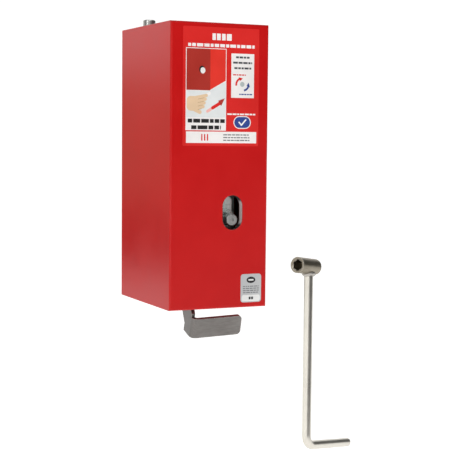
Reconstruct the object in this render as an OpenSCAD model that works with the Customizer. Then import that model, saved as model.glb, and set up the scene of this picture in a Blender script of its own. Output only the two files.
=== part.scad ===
// Wall-mounted hand winch control box with a release lever and a loose crank.
// Origin: centre of the wall-fixing holes, in the wall plane. +Z up, the front faces -Y. Millimetres.

/* [Cover] */
// Width of the cover
cover_w = 125; // [110:1:160]
// Height of the cover
cover_h = 335; // [300:1:420]
// Depth of the cover, from the wall to its front
cover_d = 165; // [150:1:200]
// Thickness of the cover's sheet
sheet_t = 1.5; // [1:0.1:2]
// Outer radius of the cover's front bends
bend_r = 2.5; // [2.2:0.1:4]

/* [Crank opening] */
// Width of the round-ended opening in the front
slot_w = 26; // [24:1:32]
// Height of the round-ended opening
slot_h = 41; // [34:1:50]
// Left side of the cover to the middle of the opening
slot_from_left = 79.6; // [78:0.1:84]
// Bottom of the cover to the middle of the opening
slot_from_bottom = 113.6; // [108:0.1:120]

/* [Frame] */
// Thickness of the back plate
back_t = 2.5; // [2:0.1:4]
// Depth of the back plate's folded flanges
flange_d = 45; // [42:1:50]
// Thickness of the front plate
front_t = 3; // [2.5:0.1:4]
// Cover's front to the front plate's front face
front_gap = 25; // [22:1:28]
// Spacing of the wall holes across the back plate
wall_x = 90; // [80:1:96]
// Spacing of the wall holes up the back plate
wall_z = 270; // [240:1:280]
// Diameter of the wall holes
wall_hole_d = 9; // [7:0.5:10]
// Diameter of the four spacer posts
post_d = 12; // [11:0.5:14]

/* [Winch] */
// Module of the gears
gear_module = 2; // [1.6:0.05:2.1]
// Teeth on the drum gear
drum_teeth = 48; // [44:4:48]
// Teeth on the pinion
pinion_teeth = 12; // [12:1:12]
// Face width of the drum gear
gear_w = 10; // [8:1:12]
// Radius of the drum where the cable winds
winding_r = 32; // [28:0.5:33]
// Radius of the drum's flanges
flange_r = 40; // [38:0.5:42]
// Diameter of the drum axle
axle_d = 14; // [11.5:0.5:15]
// Diameter of the drive shaft
shaft_d = 15; // [14.2:0.1:15.6]
// Width across the flats of the crank drive
hex_af = 13; // [11:0.1:13]
// Radius of the brake rim
rim_r = 38; // [36:0.5:40]
// Width of the brake rim
rim_w = 26; // [20:1:28]

/* [Lever] */
// Width of the lever's flat bar
bar_w = 26; // [22:0.5:28]
// Thickness of the lever's flat bar
bar_t = 4.5; // [3.5:0.1:5.5]
// Length of the lever's blade, from the bend's outer face
blade_len = 64; // [50:1:70]
// Height of the lever's blade
blade_h = 25; // [22:0.5:28]
// Pivot to the far end of the lever's arm
arm_len = 76; // [74:1:80]
// How far the arm leans forward from vertical, in degrees
arm_lean = 26; // [24:0.5:28]
// Pivot to the link pin
tail_len = 24; // [22:0.5:26]
// Diameter of the lever's pivot pin
pivot_d = 10; // [8:0.5:11]

/* [Brake] */
// Diameter of the brake plunger
plunger_d = 10; // [8:0.5:11]
// Width of the brake shoe, across the plunger
shoe_w = 20; // [20:1:26]
// Length of the brake shoe along the drum axle
shoe_len = 14; // [10:1:16]
// Wire diameter of the brake spring
spring_wire_d = 1.8; // [1.2:0.1:2]
// Turns of the brake spring
spring_turns = 6; // [4:1:7]

/* [Cable outlet] */
// Outer diameter of the ferrule
ferrule_d = 16; // [14:0.5:18]
// Diameter of the hole through the ferrule
ferrule_bore_d = 10; // [8:0.5:11]
// Height of the ferrule above the cover
ferrule_rise = 12; // [8:1:20]

/* [Labels] */
// Width of the instruction label
label_w = 97; // [80:1:100]
// Height of the instruction label
label_h = 137.5; // [120:0.5:140]
// Width of the inspection label
tag_w = 27; // [24:0.5:30]
// Height of the inspection label
tag_h = 34; // [30:0.5:38]
// Thickness of both labels
label_t = 0.4; // [0.2:0.1:0.6]

/* [Crank] */
// Diameter of the crank's rod
rod_d = 12; // [10:0.5:13]
// Outer diameter of the crank's socket
socket_d = 21.5; // [20:0.5:22]
// Length of the crank's socket
socket_len = 44; // [36:1:48]
// Depth of the hexagonal hole in the socket
socket_depth = 24; // [18:1:28]
// Distance between the socket's axis and the handle's axis
crank_arm = 237; // [180:1:260]
// Length of the handle, from the rod's axis to its end
handle_len = 99; // [80:1:120]
// Radius of the bend between rod and handle, at the rod's axis
crank_bend_r = 13; // [10:0.5:18]

/* [Clearances] */
// Gap between moving pieces and their neighbours
run_gap = 0.3; // [0.2:0.05:0.5]
// Radial clearance of shafts in their bushes
shaft_fit = 0.05; // [0.02:0.01:0.08]
// Radial clearance of screws in drilled holes
screw_fit = 0.25; // [0.15:0.05:0.4]
// Radial clearance of a screw in its tapped hole
thread_fit = 0.03; // [0.02:0.01:0.05]

/* [Hidden] */
$fn = 64;
tiny = 0.01; // lets one cut run past another

// Places that everything else is set out from
left = -cover_w / 2;
bottom = -cover_h / 2;
front = -cover_d;
front_plate_y = front + front_gap;        // front face of the front plate
front_plate_back = front_plate_y + front_t;
slot_x = left + slot_from_left;
slot_z = bottom + slot_from_bottom;

// Drive shaft: low in the round-ended opening, a little to the right of its middle
shaft_side = 1.2;                         // the shaft lies this far right of the opening's middle
shaft_drop = 8.8;                         // and this far below it, so the crank's socket clears the edge
shaft_x = slot_x + shaft_side;
shaft_z = slot_z - shaft_drop;
shaft_r = shaft_d / 2;
shaft_front = front + 4;
hex_len = 18;
shaft_back = -0.8;
hex_corner_r = hex_af / sqrt(3);

// Cable outlet, above the side of the drum where the cable leaves it
ferrule_from_left = 26.2;
ferrule_x = left + ferrule_from_left;
ferrule_y = -26.4;

// Drum and its gear train
drum_x = ferrule_x + winding_r;
centre_dist = gear_module * (drum_teeth + pinion_teeth) / 2;
drum_z = shaft_z + sqrt(centre_dist * centre_dist - pow(shaft_x - drum_x, 2));
mesh_angle = atan2(shaft_z - drum_z, shaft_x - drum_x);
axle_r = axle_d / 2;
axle_flange_t = 3;
axle_flange_r = axle_r + 5;
axle_spacer_r = axle_r + 3;
bush_wall = 3;
bush_flange_t = 2;
bush_len = 15;
hub_bore_r = axle_r + bush_wall;
hub_r = hub_bore_r + 4;

// Lever pivot, above and behind the cover's bottom front edge
pivot_y = front + 51;
pivot_z = bottom + 40;
pivot_r = pivot_d / 2;
lever_x = left + 34;                      // outer face of the lever's arm
lever_mid_x = lever_x + bar_t / 2;
blade_lean = 18.6;                        // the blade's lower edge stands back by this angle
blade_rise = 2;                           // the blade's edges climb by this angle towards its free end
bar_bend_r = 7;                           // outer radius of the lever's bend

// Brake plunger, pulled down by the lever's tail
plunger_x = drum_x;
plunger_y = pivot_y + tail_len;
plunger_r = plunger_d / 2;
link_r = 3;
pinion_hub_r = shaft_r + 4;
shoe_fit_w = min(shoe_w, 2 * (shaft_x - plunger_x - pinion_hub_r - 1)); // clear of the pinion's hub
rim_bottom = drum_z - rim_r;
lining_t = 5;
shoe_t = 6;
shoe_bottom = rim_bottom - run_gap - lining_t - shoe_t;
guide_low_z = pivot_z + 16.5;             // underside of the guide's lower flange
guide_high_z = shoe_bottom - 18;          // underside of the guide's upper flange, clear of the pinion's hub
guide_t = 4;
collar_t = 3;
spring_room = guide_high_z - guide_low_z - guide_t - collar_t - 1;
spring_len = min(22, spring_room);        // the spring shortens where the guide is low
collar_z = guide_low_z + guide_t + spring_len; // underside of the spring collar
plunger_foot = 17;

// The rim, gear and drum follow one another from the brake back to the wall
rim_front_y = plunger_y - 11;
gear_front_y = rim_front_y + rim_w;
drum_front_y = gear_front_y + gear_w;
drum_back_y = -(back_t + axle_flange_t + run_gap + bush_flange_t);
disc_t = 4;
rim_wall = 4.5;
hub_front_y = gear_front_y - disc_t;
drum_wall = 5;
drum_flange_t = 6;
core_r = winding_r - 2;
drum_screw_ring = core_r - 0.5;
clamp_ring = core_r + 5;                  // the cable's clamp stands this far off the drum's middle
drum_rear_flange_t = 4;

// Frame
plate_w = cover_w - 2 * sheet_t - 1;
plate_h = cover_h - 2 * sheet_t;
front_plate_left = left + 5;
front_plate_right = shaft_x + 12.2;
front_plate_low = pivot_z + 15.5;
front_plate_high = drum_z + 86;
post_r = post_d / 2;
post_xs = [front_plate_left + 8, front_plate_right - 8];
post_zs = [front_plate_low + 8, front_plate_high - 8];
wall_hole_r = wall_hole_d / 2;

// Screw sizes: thread radius and width across the flats
m4_r = 2;
m5_r = 2.5;
m6_r = 3;
m5_af = 8;
m6_af = 10;
cover_screw_x = cover_w / 2 - 16.5;        // stays the same way off the cable outlet
cover_screw_y = -38;

// Labels
label_x = left + 15;
label_z = bottom + 192;
tag_x = left + 91;
tag_z = bottom + 6;

// Crank: where its socket and rod cross, and how it leans
crank_x = left + 252.5;
crank_y = -35;
crank_z = bottom + 31;
crank_yaw = 28;
crank_back_lean = 10;
crank_turn = 55;
socket_front = 26.7;                      // mouth of the socket to the rod's axis
socket_r = socket_d / 2;
rod_r = rod_d / 2;
socket_fit = 0.25;                        // clearance of the socket over the drive, on the radius

steel = "silver";
zinc = "gainsboro";
paint = "firebrick";
bronze = "darkgoldenrod";

// ---- helpers ----

// Turns a shape built up from z = 0 so that it stands out towards the front
module to_front(x, y, z) {
    translate([x, y, z]) rotate([90, 0, 0]) children();
}

// Turns a shape built up from z = 0 so that it points along +X; its own x becomes Y
module to_right(x, y, z) {
    translate([x, y, z]) rotate([90, 0, 90]) children();
}

module rounded_rect(w, h, r) {
    square([w - 2 * r, h], center = true);
    square([w, h - 2 * r], center = true);
    for (sx = [-1, 1], sy = [-1, 1])
        translate([sx * (w / 2 - r), sy * (h / 2 - r)]) circle(r = r);
}

module obround(w, h) {
    square([w, h - w], center = true);
    for (s = [-1, 1])
        translate([0, s * (h - w) / 2]) circle(r = w / 2);
}

module hex_prism(af, h) {
    cylinder(r = af / sqrt(3), h = h, $fn = 6);
}

// Hexagon-head screw: the head stands on z = 0, the shank goes down from it
module hex_screw(r, af, head, len) {
    intersection() {
        hex_prism(af, head);
        union() {
            cylinder(r = af / sqrt(3), h = head - 0.8);
            translate([0, 0, head - 0.8]) cylinder(r1 = af / sqrt(3), r2 = af / 2 - 0.3, h = 0.8);
        }
    }
    translate([0, 0, -len]) cylinder(r = r - thread_fit, h = len + tiny);
}

module pan_screw(r, head_r, head, len) {
    difference() {
        union() {
            cylinder(r = head_r, h = head - 0.6);
            translate([0, 0, head - 0.6]) cylinder(r1 = head_r, r2 = head_r - 0.9, h = 0.6);
        }
        translate([0, 0, head - 1.2]) hex_prism(head_r * 0.75, 2);
    }
    translate([0, 0, -len]) cylinder(r = r - thread_fit, h = len + tiny);
}

module ring(r_out, r_in, h) {
    difference() {
        cylinder(r = r_out, h = h);
        translate([0, 0, -1]) cylinder(r = r_in, h = h + 2);
    }
}

// Open retaining ring, as it snaps into a groove
module snap_ring(r_out, r_in, h) {
    difference() {
        ring(r_out, r_in, h);
        translate([0, 0, -1]) linear_extrude(h + 2) square([r_in * 1.1, r_out + 1]);
    }
}

// ---- gears ----

pressure_angle = 20;
backlash_angle = 4.5;                     // taken off each flank, divided by the tooth count

function involute(a) = tan(a) * 180 / PI - a;
function flank_half_angle(r, n, base_r) =
    90 / n - backlash_angle / n + involute(pressure_angle) - involute(acos(min(1, base_r / r)));
function polar(r, a) = [r * cos(a), r * sin(a)];

function tooth(n, i, root_r, base_r, tip_r) =
    let (mid = 360 * i / n, low_r = max(root_r + 0.2, base_r), steps = 4)
    concat(
        [polar(root_r, mid - flank_half_angle(low_r, n, base_r) - 1.5 * 8 / n)],
        [for (k = [0 : steps]) let (r = low_r + (tip_r - low_r) * k / steps)
            polar(r, mid - flank_half_angle(r, n, base_r))],
        [for (k = [steps : -1 : 0]) let (r = low_r + (tip_r - low_r) * k / steps)
            polar(r, mid + flank_half_angle(r, n, base_r))],
        [polar(root_r, mid + flank_half_angle(low_r, n, base_r) + 1.5 * 8 / n)]
    );

// Flat outline of a gear of n teeth, with one tooth centred on +X
module gear_outline(n) {
    pitch_r = gear_module * n / 2;
    base_r = pitch_r * cos(pressure_angle);
    tip_r = pitch_r + 0.9 * gear_module;
    root_r = pitch_r - 1.2 * gear_module;
    polygon([for (i = [0 : n - 1]) each tooth(n, i, root_r, base_r, tip_r)]);
}

// ---- frame ----

module back_plate() {
    bend = back_t + 1.5;
    color(zinc) difference() {
        to_right(-plate_w / 2, 0, 0) linear_extrude(plate_w) intersection() {
            translate([-flange_d, -plate_h / 2]) square([flange_d, plate_h]);
            difference() {
                translate([-plate_h / 2, 0]) rounded_rect(plate_h, plate_h, bend);
                translate([-plate_h / 2, 0])
                    rounded_rect(plate_h - 2 * back_t, plate_h - 2 * back_t, bend - back_t);
            }
        }
        for (sx = [-1, 1], sz = [-1, 1])
            to_front(sx * wall_x / 2, 1, sz * wall_z / 2) cylinder(r = wall_hole_r, h = back_t + 2);
        to_front(drum_x, 1, drum_z) cylinder(r = axle_r + thread_fit, h = back_t + 2);
        to_front(shaft_x, 1, shaft_z) cylinder(r = rear_bush_r, h = back_t + 2);
        for (x = post_xs, z = post_zs)
            to_front(x, 0, z) {
                translate([0, 0, -1]) cylinder(r = m5_r + screw_fit, h = back_t + 2);
                translate([0, 0, -tiny]) cylinder(r1 = m5_r * 2 + screw_fit, r2 = m5_r + screw_fit, h = 2.3);
            }
        translate([ferrule_x, ferrule_y, plate_h / 2 - back_t - 1])
            cylinder(r = ferrule_d / 2 + thread_fit, h = back_t + 2);
        for (sx = [-1, 1], sz = [-1, 1])
            translate([sx * cover_screw_x, cover_screw_y, sz * (plate_h / 2 - back_t / 2)])
                cylinder(r = m4_r, h = back_t + 2, center = true);
    }
}

module front_plate() {
    w = front_plate_right - front_plate_left;
    h = front_plate_high - front_plate_low;
    color(zinc) difference() {
        to_front((front_plate_left + front_plate_right) / 2, front_plate_back,
                 (front_plate_low + front_plate_high) / 2)
            linear_extrude(front_t) rounded_rect(w, h, 5);
        to_front(drum_x, front_plate_back + 1, drum_z) cylinder(r = axle_end_r + thread_fit, h = front_t + 2);
        to_front(shaft_x, front_plate_back + 1, shaft_z) cylinder(r = bearing_r, h = front_t + 2);
        for (s = [-1, 1])
            to_front(shaft_x, front_plate_back + 1, shaft_z + s * bearing_screw_z)
                cylinder(r = m6_r, h = front_t + 2);
        for (x = post_xs, z = post_zs)
            to_front(x, front_plate_back + 1, z) cylinder(r = m5_r + screw_fit, h = front_t + 2);
        for (z = bracket_screw_zs)
            to_front(lever_mid_x, front_plate_back + 1, z) cylinder(r = m5_r + screw_fit, h = front_t + 2);
        for (s = [-1, 1])
            to_front(plunger_x + s * guide_screw_x, front_plate_back + 1, guide_screw_z)
                cylinder(r = m5_r + screw_fit, h = front_t + 2);
    }
}

post_screw_len = 14;
post_len = -front_plate_back - back_t;

module spacer_posts() {
    color(steel) for (x = post_xs, z = post_zs)
        to_front(x, -back_t, z) difference() {
            cylinder(r = post_r, h = post_len);
            translate([0, 0, -1]) cylinder(r = m5_r, h = post_screw_len + 1);
            translate([0, 0, post_len - post_screw_len]) cylinder(r = m5_r, h = post_screw_len + 1);
        }
}

module front_post_screws() {
    color(steel) for (x = post_xs, z = post_zs)
        to_front(x, front_plate_y, z) hex_screw(m5_r, m5_af, 3.5, front_t + post_screw_len - 3);
}

module back_post_screws() {
    head = 2.2;
    color(steel) for (x = post_xs, z = post_zs)
        to_front(x, -0.1, z) {
            cylinder(r1 = m5_r * 2, r2 = m5_r - thread_fit, h = head);
            cylinder(r = m5_r - thread_fit, h = back_t + post_screw_len - 3);
        }
}

// ---- cover ----

lever_slot_gap = 1.5;
opening_lining_t = 1.2;
lining_depth = 8;

module cover_block(inset) {
    w = cover_w - 2 * inset;
    h = cover_h - 2 * inset;
    d = cover_d - inset;
    r = bend_r - inset;
    intersection() {
        translate([0, 0, -h / 2]) linear_extrude(h) rounded_rect(w, 2 * d, r);
        to_right(-w / 2, 0, 0) linear_extrude(w) rounded_rect(2 * d, h, r);
        translate([-w, -d - 1, -h]) cube([2 * w, d + 1 + min(inset, 1), 2 * h]);
    }
}

module cover() {
    color(paint) difference() {
        cover_block(0);
        cover_block(sheet_t);
        to_front(slot_x, front + sheet_t + 1, slot_z) linear_extrude(sheet_t + 2) obround(slot_w, slot_h);
        translate([lever_x - lever_slot_gap, front + 5, bottom - 1])
            cube([bar_t + 2 * lever_slot_gap, 45, sheet_t + 2]);
        translate([ferrule_x, ferrule_y, -bottom - sheet_t - 1]) {
            cylinder(r = ferrule_d / 2 + 1, h = sheet_t + 2);
            translate([-ferrule_d / 2 - 1, 0, 0]) cube([ferrule_d + 2, -ferrule_y + 1, sheet_t + 2]);
        }
        for (sx = [-1, 1], sz = [-1, 1])
            translate([sx * cover_screw_x, cover_screw_y, sz * (cover_h / 2 - sheet_t / 2)])
                cylinder(r = m4_r + screw_fit, h = sheet_t + 2, center = true);
    }
}

// Folded lining that stands inwards round the crank's opening
module opening_collar() {
    color(zinc) to_front(slot_x, front + sheet_t + lining_depth, slot_z) difference() {
        linear_extrude(lining_depth) obround(slot_w + 2 * opening_lining_t, slot_h + 2 * opening_lining_t);
        translate([0, 0, -1]) linear_extrude(lining_depth + 2) obround(slot_w, slot_h);
    }
}

module cover_screws() {
    color(steel) for (sx = [-1, 1], up = [0, 180])
        rotate([up, 0, 0])
            translate([sx * cover_screw_x, up == 0 ? cover_screw_y : -cover_screw_y, cover_h / 2])
                pan_screw(m4_r, 4, 2.4, sheet_t + back_t + 2);
}

// ---- drum ----

axle_end_r = 5;
axle_end_len = front_t + 14;
axle_washer_r = 10.5;
axle_washer_t = 1.5;
axle_nut_af = 16;
axle_nut_t = 8;

module drum_axle() {
    color(steel) to_front(drum_x, 0, drum_z) {
        translate([0, 0, 0.2]) cylinder(r = axle_r, h = -front_plate_back - 0.2);
        translate([0, 0, back_t]) cylinder(r = axle_flange_r, h = axle_flange_t);
        translate([0, 0, -front_plate_back - tiny]) cylinder(r = axle_end_r, h = axle_end_len + tiny);
    }
}

module axle_spacer() {
    y0 = hub_front_y - bush_flange_t - run_gap;
    color(steel) to_front(drum_x, y0, drum_z) ring(axle_spacer_r, axle_r + thread_fit, y0 - front_plate_back);
}

module axle_nut() {
    color(steel) to_front(drum_x, front_plate_y, drum_z) difference() {
        union() {
            cylinder(r = axle_washer_r, h = axle_washer_t);
            translate([0, 0, axle_washer_t]) hex_prism(axle_nut_af, axle_nut_t);
        }
        translate([0, 0, -1]) cylinder(r = axle_end_r + thread_fit, h = axle_washer_t + axle_nut_t + 2);
    }
}

module cable_drum() {
    back = -drum_back_y;
    drum_w = -drum_front_y - back;
    hub_len = -hub_front_y - back;
    color("lightgray") to_front(drum_x, drum_back_y, drum_z) difference() {
        union() {
            cylinder(r = hub_r, h = hub_len);
            cylinder(r = flange_r, h = drum_rear_flange_t);
            cylinder(r = core_r, h = drum_w);
            translate([0, 0, drum_w - drum_flange_t]) cylinder(r = flange_r, h = drum_flange_t);
        }
        translate([0, 0, -1]) cylinder(r = hub_bore_r, h = hub_len + 2);
        translate([0, 0, drum_rear_flange_t]) ring(core_r - drum_wall, hub_r, drum_w);
        translate([0, clamp_ring, -1]) cylinder(r = m4_r + thread_fit, h = drum_rear_flange_t + 2);
        for (a = [30 : 120 : 270]) rotate(a)
            translate([drum_screw_ring, 0, drum_w - drum_flange_t + 1]) cylinder(r = m4_r, h = drum_flange_t);
    }
}

module drum_gear() {
    color("darkgray") to_front(drum_x, drum_front_y, drum_z) difference() {
        rotate(mesh_angle + 180 / drum_teeth) linear_extrude(gear_w) gear_outline(drum_teeth);
        translate([0, 0, -1]) cylinder(r = hub_r + thread_fit, h = gear_w + 2);
        for (a = [30 : 120 : 270]) rotate(a)
            translate([drum_screw_ring, 0, -1]) cylinder(r = m4_r + screw_fit, h = gear_w + 2);
    }
}

module brake_rim() {
    color("dimgray") to_front(drum_x, gear_front_y, drum_z) difference() {
        cylinder(r = rim_r, h = rim_w);
        translate([0, 0, -1]) cylinder(r = hub_r + thread_fit, h = rim_w + 2);
        translate([0, 0, disc_t]) cylinder(r = rim_r - rim_wall, h = rim_w);
        for (a = [30 : 120 : 270]) rotate(a)
            translate([drum_screw_ring, 0, -1]) cylinder(r = m4_r + screw_fit, h = disc_t + 2);
    }
}

module drum_screws() {
    color(steel) to_front(drum_x, gear_front_y - disc_t, drum_z)
        for (a = [30 : 120 : 270]) rotate(a)
            translate([drum_screw_ring, 0, 0])
                pan_screw(m4_r, 3.6, 3, disc_t + gear_w + drum_flange_t - 2);
}

module drum_bush() {
    cylinder(r = hub_bore_r - thread_fit, h = bush_len);
    translate([0, 0, -bush_flange_t]) cylinder(r = hub_r - 1, h = bush_flange_t);
}

module drum_bushes() {
    color(bronze) to_front(drum_x, 0, drum_z) difference() {
        union() {
            translate([0, 0, -drum_back_y]) drum_bush();
            translate([0, 0, -hub_front_y]) mirror([0, 0, 1]) drum_bush();
        }
        cylinder(r = axle_r + shaft_fit, h = cover_d);
    }
}

// Screw through the rear flange, with the block that grips the cable's end
module cable_clamp() {
    color(steel) to_front(drum_x, drum_back_y, drum_z) translate([0, clamp_ring, 0]) {
        mirror([0, 0, 1]) cylinder(r = 3.4, h = 2.2);
        cylinder(r = m4_r, h = drum_rear_flange_t + tiny);
        translate([-4, -4, drum_rear_flange_t]) cube([8, 8, 5]);
    }
}

// ---- drive shaft ----

shaft_len = shaft_back - shaft_front;
clip_t = 1.2;
rear_bush_r = shaft_r + 2.5;
rear_bush_len = 12;
bearing_r = shaft_r + 2.5;
bearing_flange_t = 5;
bearing_back = 6;                         // how far the bearing's barrel stands behind the front plate
bearing_screw_z = 22;
rear_clip_y = -rear_bush_len - run_gap;
front_clip_y = front_plate_back + bearing_back + run_gap + clip_t;
groove_r = shaft_r - 0.6;
pin_r = 2;
pinion_hub = 9;
pinion_front_y = gear_front_y - 1;
pinion_back_y = drum_front_y - run_gap;   // clear of the drum's flange
pinion_w = pinion_back_y - pinion_front_y;
pinion_pin_y = pinion_front_y - pinion_hub / 2;

module drive_shaft() {
    color(steel) difference() {
        to_front(shaft_x, shaft_back, shaft_z) union() {
            cylinder(r = shaft_r, h = shaft_len - hex_len);
            intersection() {
                rotate(30) hex_prism(hex_af, shaft_len);
                union() {
                    translate([0, 0, shaft_len - hex_len - 1]) cylinder(r = hex_corner_r, h = hex_len);
                    translate([0, 0, shaft_len - 1])
                        cylinder(r1 = hex_corner_r, r2 = hex_corner_r - 1.2, h = 1);
                }
            }
        }
        to_front(shaft_x, shaft_front + 3, shaft_z) cylinder(r = 2.6, h = 5);
        for (y = [rear_clip_y, front_clip_y])
            to_front(shaft_x, y + 0.05, shaft_z) ring(shaft_r + 1, groove_r, clip_t + 0.1);
        translate([shaft_x, pinion_pin_y, shaft_z]) cylinder(r = pin_r, h = 40, center = true);
    }
}

module shaft_clips() {
    color("dimgray") for (y = [rear_clip_y, front_clip_y])
        to_front(shaft_x, y, shaft_z) snap_ring(shaft_r + 3, groove_r + thread_fit, clip_t);
}

module pinion() {
    color("darkgray") difference() {
        to_front(shaft_x, pinion_back_y, shaft_z) {
            rotate(mesh_angle + 180) linear_extrude(pinion_w) gear_outline(pinion_teeth);
            translate([0, 0, pinion_w - tiny])
                cylinder(r = pinion_hub_r, h = pinion_hub + tiny);
        }
        to_front(shaft_x, 0, shaft_z) cylinder(r = shaft_r + thread_fit, h = cover_d);
        translate([shaft_x, pinion_pin_y, shaft_z]) cylinder(r = pin_r, h = 40, center = true);
    }
}

module pinion_pin() {
    color(steel) translate([shaft_x, pinion_pin_y, shaft_z])
        cylinder(r = pin_r - thread_fit, h = 2 * shaft_r + 7, center = true);
}

module rear_shaft_bush() {
    color(bronze) to_front(shaft_x, -0.2, shaft_z) difference() {
        union() {
            cylinder(r = rear_bush_r - thread_fit, h = rear_bush_len - 0.2);
            translate([0, 0, back_t - 0.2]) cylinder(r = rear_bush_r + 3, h = 2.5);
        }
        translate([0, 0, -1]) cylinder(r = shaft_r + shaft_fit, h = rear_bush_len + 2);
    }
}

// Two-bolt flange bearing on the front plate, just behind the opening in the cover
module front_bearing() {
    barrel = front_t + bearing_back;
    color("lightgray") to_front(shaft_x, front_plate_y, shaft_z) difference() {
        union() {
            linear_extrude(bearing_flange_t) union() {
                circle(r = bearing_r + 1.5);
                obround(13, 2 * bearing_screw_z + 13);
            }
            translate([0, 0, -barrel]) cylinder(r = bearing_r - thread_fit, h = barrel + tiny);
        }
        translate([0, 0, -barrel - 1]) cylinder(r = shaft_r + shaft_fit, h = barrel + bearing_flange_t + 2);
        for (s = [-1, 1])
            translate([0, s * bearing_screw_z, -1]) cylinder(r = m6_r + screw_fit, h = bearing_flange_t + 2);
    }
}

module bearing_screws() {
    color(steel) for (s = [-1, 1])
        to_front(shaft_x, front_plate_y - bearing_flange_t, shaft_z + s * bearing_screw_z)
            hex_screw(m6_r, m6_af, 4, bearing_flange_t + front_t + 2);
}

// ---- lever ----

hub_len_x = bar_t + 6;
hub_out_r = pivot_r + 4;
ear_t = 2.5;
ear_left_x = lever_mid_x - hub_len_x / 2 - run_gap - ear_t;
ear_right_x = lever_mid_x + hub_len_x / 2 + run_gap;
bracket_high = front_plate_low + 34;
bracket_screw_zs = [front_plate_low + 9, front_plate_low + 25];
foot_len = 17;                            // straight part of the bar behind the bend
// Pivot to the bend's outer corner, backwards and upwards
bend_foot = [-34.6, -76.7];

// Bend and blade of the flat bar, seen from above
module bent_bar() {
    translate([bar_bend_r, 0]) square([blade_len - bar_bend_r, bar_t]);
    intersection() {
        translate([bar_bend_r, bar_bend_r]) difference() {
            circle(r = bar_bend_r);
            circle(r = bar_bend_r - bar_t);
        }
        square([bar_bend_r, bar_bend_r]);
    }
}

// Edges of the blade, seen from the front
module blade_outline() {
    corner = 5;
    rotate(blade_rise) translate([-foot_len, 0]) union() {
        square([blade_len + foot_len - corner, blade_h]);
        translate([0, corner]) square([blade_len + foot_len, blade_h - 2 * corner]);
        for (z = [corner, blade_h - corner])
            translate([blade_len + foot_len - corner, z]) circle(r = corner);
    }
}

module lever_blade() {
    translate([lever_x, pivot_y + bend_foot[0], pivot_z + bend_foot[1]]) rotate([blade_lean, 0, 0])
        intersection() {
            translate([0, 0, -5]) linear_extrude(blade_h + 10) bent_bar();
            to_front(0, 60, 0) linear_extrude(80) blade_outline();
        }
}

// Arm and tail, seen from the right: y backwards, z upwards, the pivot at 0
module arm_outline() {
    corner = 8;
    difference() {
        union() {
            circle(r = bar_w / 2);
            rotate(-arm_lean) {
                translate([-bar_w / 2, -arm_len]) square([bar_w - corner, arm_len]);
                translate([-bar_w / 2, corner - arm_len]) square([bar_w, arm_len - corner]);
                translate([bar_w / 2 - corner, corner - arm_len]) circle(r = corner);
            }
            translate(bend_foot) rotate(blade_lean) translate([bar_bend_r, 0]) square([foot_len, blade_h]);
            translate([0, -8]) square([tail_len + 8, 16]);
        }
        translate(bend_foot) rotate(blade_lean) translate([-60, -60]) square([60 + bar_bend_r, 120]);
        translate([tail_len, 0]) circle(r = link_r + run_gap);
        translate([tail_len, -link_r - run_gap]) square([20, 2 * (link_r + run_gap)]);
    }
}

module lever() {
    color("darkgray") difference() {
        union() {
            lever_blade();
            to_right(lever_x, pivot_y, pivot_z) linear_extrude(bar_t) arm_outline();
        }
        to_right(lever_x - 1, pivot_y, pivot_z) cylinder(r = hub_out_r, h = bar_t + 2);
    }
}

module lever_hub() {
    color(steel) to_right(lever_mid_x - hub_len_x / 2, pivot_y, pivot_z)
        ring(hub_out_r - thread_fit, pivot_r + shaft_fit, hub_len_x);
}

module lever_ear() {
    to_base = front_plate_back - pivot_y;
    difference() {
        linear_extrude(ear_t) union() {
            circle(r = pivot_r + 6);
            polygon([[to_base, bracket_high - pivot_z], [to_base, front_plate_low - pivot_z],
                     [-8, -8], [8, 8]]);
        }
        translate([0, 0, -1]) cylinder(r = pivot_r, h = ear_t + 2);
    }
}

module lever_bracket() {
    color(zinc) union() {
        to_right(ear_left_x, pivot_y, pivot_z) lever_ear();
        to_right(ear_right_x, pivot_y, pivot_z) lever_ear();
        difference() {
            translate([ear_left_x, front_plate_back, front_plate_low])
                cube([ear_right_x + ear_t - ear_left_x, ear_t, bracket_high - front_plate_low]);
            for (z = bracket_screw_zs)
                to_front(lever_mid_x, front_plate_back + ear_t + 1, z) cylinder(r = m5_r, h = ear_t + 2);
        }
    }
}

module bracket_screws() {
    color(steel) for (z = bracket_screw_zs)
        to_front(lever_mid_x, front_plate_y, z) hex_screw(m5_r, m5_af, 3.5, front_t + ear_t + 1);
}

pin_head_t = 2;
pin_end = 4;

module lever_pin() {
    len = ear_right_x + ear_t - ear_left_x + pin_end;
    color(steel) to_right(ear_left_x, pivot_y, pivot_z) difference() {
        union() {
            cylinder(r = pivot_r - thread_fit, h = len);
            translate([0, 0, -pin_head_t]) cylinder(r = pivot_r + 2, h = pin_head_t);
        }
        translate([0, 0, len - pin_end + 0.2]) ring(pivot_r + 1, pivot_r - 0.6, clip_t + 0.1);
    }
}

module lever_pin_clip() {
    color("dimgray") to_right(ear_right_x + ear_t + 0.25, pivot_y, pivot_z)
        snap_ring(pivot_r + 2.5, pivot_r - 0.57, clip_t);
}

// ---- brake ----

guide_w = 2 * (plunger_x - ear_right_x - ear_t - 1); // leaves 1 mm beside the lever's bracket
guide_screw_x = guide_w / 2 - 5;
guide_screw_z = (guide_low_z + guide_high_z + guide_t) / 2;

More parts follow.
